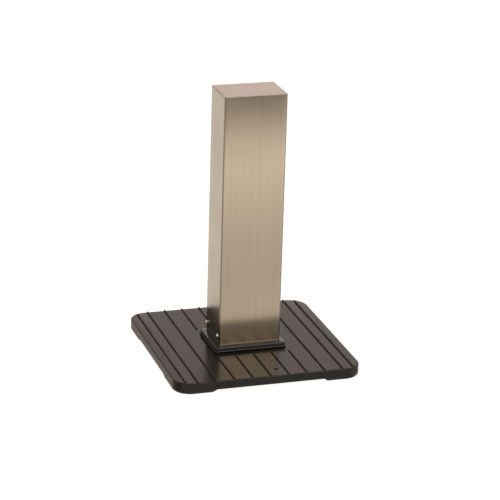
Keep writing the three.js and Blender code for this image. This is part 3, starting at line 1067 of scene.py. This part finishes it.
@dataclass
class Studio:
    """A pale lit sweep, soft boxes in front and behind, a card for the post to mirror, and the camera."""

    heading: float = math.radians(18.05)   # the camera looks this far right of straight back
    pitch: float = math.radians(19.92)     # and this far down
    roll: float = math.radians(1.72)
    eye: tuple[float, float, float] = (-1.4873, -4.6019, 2.0110)
    lens: float = 155.4
    floor_reach: float = 40.0
    floor_glow: float = 0.97
    sky: float = 0.42
    behind: float = 0.75
    front: float = 3.0
    card_glow: float = 1.95
    card_low: tuple[float, float] = (-3.0, -4.5)
    card_high: tuple[float, float] = (5.0, -0.235)
    card_tint: tuple[float, float, float] = (1.0, 0.985, 0.96)
    shade: tuple[float, float, float, float] = (0.69, 0.6, 0.5, 1.0)
    # half width of the dark sheet of painted shadow under the plate, in metres
    shadow_sheet_half: float = 0.202
    strip_x: tuple[float, float] = (0.229, 0.3)
    strip_y: tuple[float, float] = (-0.232, 0.33)
    above: float = 1.1
    paper: float = 0.0        # heights of the sheets that lie on each other, in metres
    # height of the dark sheet of painted shadow under the plate
    shadow_sheet: float = 0.0006
    card: float = 0.001
    strips: float = 0.0012
    stops: tuple[tuple[float, float], ...] = (
        (0.08, 1.2), (0.1, 1.06), (0.139, 1.03), (0.174, 0.96), (0.246, 1.0), (0.285, 1.03), (0.325, 1.1),
        (0.366, 1.2), (0.41, 1.32), (0.455, 1.37), (0.486, 1.45), (0.518, 1.66), (0.551, 1.88),
        (0.585, 1.66), (0.613, 1.42), (0.627, 1.12), (0.642, 0.76), (0.656, 0.47), (0.671, 0.33),
        (0.701, 0.4), (0.716, 0.33), (0.74, 0.15), (0.755, 0.04))

    def camera(self) -> None:
        """Makes the camera from its heading, pitch and roll, as three unit vectors."""
        sin_h, cos_h = math.sin(self.heading), math.cos(self.heading)
        sin_p, cos_p = math.sin(self.pitch), math.cos(self.pitch)
        ahead = Vector((sin_h * cos_p, cos_h * cos_p, -sin_p))
        level = Vector((cos_h, -sin_h, 0))
        upright = level.cross(ahead)
        right = level * math.cos(self.roll) + upright * math.sin(self.roll)
        up = upright * math.cos(self.roll) - level * math.sin(self.roll)
        data = bpy.data.cameras.new("camera")
        data.lens = self.lens
        data.sensor_width = 36.0
        data.clip_end = 200.0
        camera = bpy.data.objects.new("camera", data)
        turn = Matrix((right, up, -ahead)).transposed()
        camera.matrix_world = Matrix.Translation(self.eye) @ turn.to_4x4()
        bpy.context.scene.collection.objects.link(camera)
        bpy.context.scene.camera = camera

    def sheet(self, name: str, low: tuple, high: tuple, z: float, material: bpy.types.Material,
            reflected: bool = False) -> None:
        """A level rectangle facing up, which isn't part of the object.

        Args:
            name: Its name.
            low: Its lowest x and y.
            high: Its highest x and y.
            z: Its height.
            material: Its finish.
            reflected: Whether only reflections see it.
        """
        mesh = bpy.data.meshes.new(name)
        corners = [(low[0], low[1], z), (high[0], low[1], z), (high[0], high[1], z), (low[0], high[1], z)]
        mesh.from_pydata(corners, [], [(0, 1, 2, 3)])
        mesh.materials.append(material)
        sheet = bpy.data.objects.new(name, mesh)
        bpy.context.scene.collection.objects.link(sheet)
        if reflected:
            sheet.visible_camera = sheet.visible_diffuse = sheet.visible_shadow = False

    def floor(self) -> None:
        """Makes the sweep that the part stands on: pale paper lit from below, so that shadows stay faint."""
        recipe = Recipe("studio_paper")
        grain = recipe.add("TexNoise", {"Vector": recipe.place, "Scale": 3.0, "Detail": 2.0})
        tone = recipe.blend(grain.outputs["Fac"], "#6c6b6a", "#747371")
        paper = recipe.skin(tone, 0.9, Specular_IOR_Level=0.0, Emission_Color=(1.0, 0.985, 0.965, 1.0),
            Emission_Strength=self.floor_glow)
        reach = self.floor_reach
        self.sheet("floor", (-reach, -reach), (reach, reach), self.paper, paper)

    def mirror_card(self) -> None:
        """Makes a graded card on the floor in front, which only reflections see.

        Its tone runs along Y, so that the front of the post is a little darker low down and falls off
        to brown at its top.
        """
        recipe = Recipe("graded_card")
        split = recipe.add("SeparateXYZ", {"Vector": recipe.place})
        away = recipe.remap(split.outputs["Y"], source=(0.0, -3.0))
        ramp = recipe.add("ValToRGB", {"Fac": away})
        elements = ramp.color_ramp.elements
        while len(elements) < len(self.stops):
            elements.new(0.5)
        for element, (position, level) in zip(elements, self.stops):
            element.position = position
            element.color = (*(level / self.card_glow * part for part in self.card_tint), 1.0)
        card = recipe.glow(Color=ramp.outputs["Color"], Strength=self.card_glow)
        self.sheet("mirror_card", self.card_low, self.card_high, self.card, card, reflected=True)

    def shade_cards(self) -> None:
        """Lays a brown strip on the floor beside each side of the plate, which only reflections see.

        The skirt mirrors the floor close to it, and the strips stand for the shade that a plate casts there.
        """
        brown = Recipe("shade_card").glow(Color=self.shade)
        (near, far), (front, back) = self.strip_x, self.strip_y
        for name, low, high in (("left", -far, -near), ("right", near, far)):
            self.sheet(f"shade_card_{name}", (low, front), (high, back), self.strips, brown, reflected=True)

    def under_shade(self) -> None:
        """Lays a dark sheet under the plate as painted shadow, because the lit paper would shine up through
        its hole.
        """
        recipe = Recipe("painted_shadow_sheet")
        # painted shadow: a dark, near matt sheet with a faint random mottle stands for the shade under the
        # plate
        tone = recipe.blend(recipe.noise(3, 3.0), "#12100e", "#1e1b18")
        shadow_sheet = recipe.skin(tone, 0.95, Specular_IOR_Level=0.1)
        reach = self.shadow_sheet_half
        self.sheet("under_shade", (-reach, -reach), (reach, reach), self.shadow_sheet, shadow_sheet)

    def softbox(self, name: str, toward: tuple[float, float, float], size: tuple[float, float],
            level: float, tint: tuple[float, float, float]) -> None:
        """Makes a rectangular light that faces the part.

        Args:
            name: Its name.
            toward: Where it stands, in metres.
            size: Its width and height, in metres.
            level: Its brightness against the white of the picture.
            tint: Its colour.
        """
        data = bpy.data.lights.new(name, "AREA")
        data.shape = "RECTANGLE"
        data.size, data.size_y = size
        data.energy = level * math.pi * size[0] * size[1]
        data.color = tint
        light = bpy.data.objects.new(name, data)
        light.location = toward
        light.rotation_euler = (Vector((0, 0, 0.2)) - light.location).to_track_quat("-Z", "Y").to_euler()
        light.visible_camera = False
        bpy.context.scene.collection.objects.link(light)

    def lights(self) -> None:
        """Sets the pale surroundings and the soft boxes."""
        scene = bpy.context.scene
        scene.view_settings.view_transform = "Standard"
        world = bpy.data.worlds.new("studio")
        world.use_nodes = True
        background = world.node_tree.nodes["Background"]
        background.inputs["Color"].default_value = (1.0, 0.93, 0.87, 1.0)
        background.inputs["Strength"].default_value = self.sky
        scene.world = world
        self.softbox("behind", (2.9, 6.2, 2.5), (5.0, 4.6), self.behind, (1.0, 0.80, 0.70))
        self.softbox("front", (2.0, -6.3, 2.6), (5.0, 3.6), self.front, (1.0, 0.92, 0.82))
        self.softbox("above", (0.0, 0.6, 6.0), (8.0, 8.0), self.above, (1.0, 0.95, 0.9))

    def make(self) -> None:
        """Makes the floor, the cards, the lights and the camera."""
        self.floor()
        self.mirror_card()
        self.shade_cards()
        self.under_shade()
        self.lights()
        self.camera()


# ---------------------------------------------------------------- the whole


def dress_cad(node: str, material: bpy.types.Material) -> None:
    """Gives a CAD node that is shown as it is a finish."""
    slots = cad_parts[node].data.materials
    slots.clear()
    slots.append(material)


def main() -> None:
    """Builds the sub-assemblies in order."""
    coat = PowderCoat().material()
    zinc = ZincPlate().material()
    lid = BrushedSteel(name="brushed_stainless_lid", tone="#a8a199", shade="#9c958c", fold="#8a837a",
        grain=Grain.ACROSS, spread=0.0).material()
    bright = BrushedSteel(name="bright_screw_steel", tone="#d8d3cc", shade="#c9c4bc", roughness=0.2,
        grain=Grain.NONE, spread=0.0).material()
    LOG.info("studio")
    Studio().make()
    LOG.info("base plate")
    plate = BasePlate()
    plate.make(coat)
    LOG.info("tread strips and soles")
    TreadStrips().make(Rubber("tread_rubber").material())
    FootPads(plate).make(Rubber("sole_rubber", tone="#161412", roughness=0.7).material())
    LOG.info("post and collar")
    post = Post()
    post.make(BrushedSteel().material(), lid)
    Collar(post).make(MouldedNylon().material())
    LOG.info("fasteners")
    fasteners = Fasteners()
    fasteners.bolts(zinc)
    fasteners.screws(bright, zinc)
    dress_cad("post_bracket", zinc)


if __name__ == "__main__":
    main()
